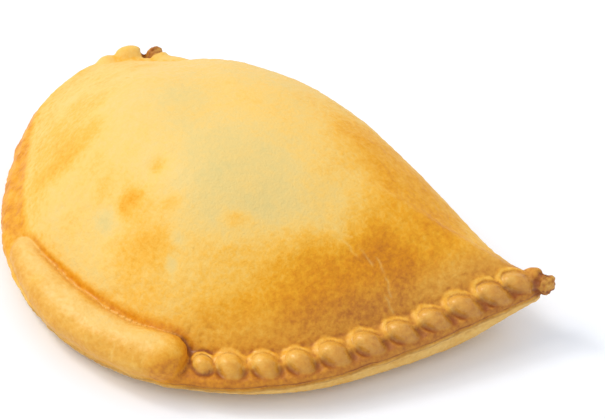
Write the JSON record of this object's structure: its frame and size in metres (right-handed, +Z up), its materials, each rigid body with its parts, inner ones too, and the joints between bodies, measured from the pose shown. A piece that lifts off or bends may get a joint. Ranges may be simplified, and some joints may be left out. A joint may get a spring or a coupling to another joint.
{
  "type": "chicken hand pie",
  "caption": "Baked half-moon hand pie of folded short dough, with a pinched bead seam, a rolled-over band in its middle and a knob at each tip.",
  "frame": {"origin": "on the resting surface, at the middle of the pie's outline", "axes": "+X from the left tip to the right tip, -Y towards the sealed seam, +Z up"},
  "size_m": [0.1472, 0.0956, 0.0399],
  "materials": {
    "baked_crust": "egg-washed short crust baked from pale cream to golden brown, satin sheen, darker in the creases"
  },
  "bodies": {
    "root": {"hand_pie": "baked_crust"}
  },
  "joints": []
}
